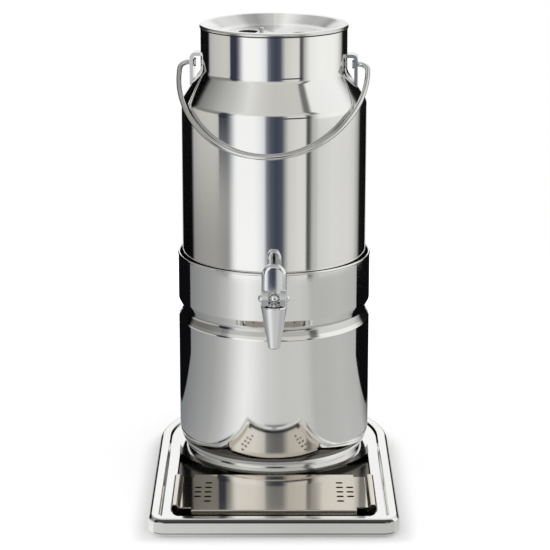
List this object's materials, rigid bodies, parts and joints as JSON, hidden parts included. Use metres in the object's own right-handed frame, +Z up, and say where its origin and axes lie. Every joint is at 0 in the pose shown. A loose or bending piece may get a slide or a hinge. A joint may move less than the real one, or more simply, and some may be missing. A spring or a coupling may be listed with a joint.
{
  "type": "milk dispenser",
  "caption": "Polished milk can with a lever tap, bail and recessed lid, standing in a cooled sleeve on a drip tray with a loose drip plate.",
  "frame": {"origin": "under the middle of the tray, at the height of the table", "axes": "+Z up, -Y towards the user who faces the tap, +X to that user's right"},
  "size_m": [0.214, 0.315, 0.4071],
  "materials": {
    "tray_steel": "polished stainless steel",
    "foot_rubber": "matte",
    "plate_steel": "polished stainless steel",
    "sleeve_steel": "polished stainless steel",
    "fastener_steel": "plain",
    "pack_plastic": "satin",
    "cap_plastic": "satin",
    "can_steel": "polished stainless steel",
    "ear_steel": "polished stainless steel",
    "wire_steel": "polished stainless steel",
    "seal_silicone": "satin",
    "stud_steel": "polished",
    "tap_chrome": "chrome plated",
    "stem_steel": "plain"
  },
  "bodies": {
    "stand": {"base_tray": "tray_steel", "tray_feet": "foot_rubber", "stand_sleeve": "sleeve_steel", "sleeve_screws": "fastener_steel", "sleeve_nuts": "fastener_steel", "cold_pack": "pack_plastic", "pack_cap": "cap_plastic"},
    "plate": {"drip_plate": "plate_steel"},
    "can": {"can_bottom": "can_steel", "can_wall_tube": "can_steel", "can_neck": "can_steel", "ear_left": "ear_steel", "ear_right": "ear_steel", "tap_body": "tap_chrome", "tap_bonnet": "tap_chrome", "outer_washer": "seal_silicone", "inner_washer": "seal_silicone", "shank_nut": "stem_steel", "valve_spring": "stem_steel"},
    "bail": {"bail": "wire_steel"},
    "lid": {"lid": "can_steel", "lid_seal": "seal_silicone", "vent_stud": "stud_steel"},
    "valve": {"valve_stem": "stem_steel", "valve_seal": "seal_silicone"},
    "lever": {"tap_lever": "tap_chrome", "lever_pin": "tap_chrome"}
  },
  "joints": [
    {"name": "plate_lift", "type": "slide", "parent": "stand", "child": "plate", "axis": [0, 0, 1], "range_m": [0, 0.04]},
    {"name": "can_lift", "type": "slide", "parent": "stand", "child": "can", "axis": [0, 0, 1], "range_m": [0, 0.1]},
    {"name": "lid_lift", "type": "slide", "parent": "can", "child": "lid", "axis": [0, 0, 1], "range_m": [0, 0.06]},
    {"name": "bail_swing", "type": "hinge", "parent": "can", "child": "bail", "pos_m": [0, 0.0505, 0.37107], "axis": [-0.9962, 0.0872, 0], "range_deg": [0, 256.7]},
    {"name": "valve_lift", "type": "slide", "parent": "can", "child": "valve", "axis": [0, 0, 1], "range_m": [0, 0.00349], "stiffness_N_per_m": 1000, "springref_m": -0.007, "deforming": ["valve_spring"]},
    {"name": "lever_tilt", "type": "hinge", "parent": "valve", "child": "lever", "pos_m": [0, -0.0595, 0.18257], "axis": [1, 0, 0], "range_deg": [0, 40]}
  ],
  "couplings": [
    {"joint": "lever_tilt", "follows": "valve_lift", "rad_per_m": 200}
  ]
}
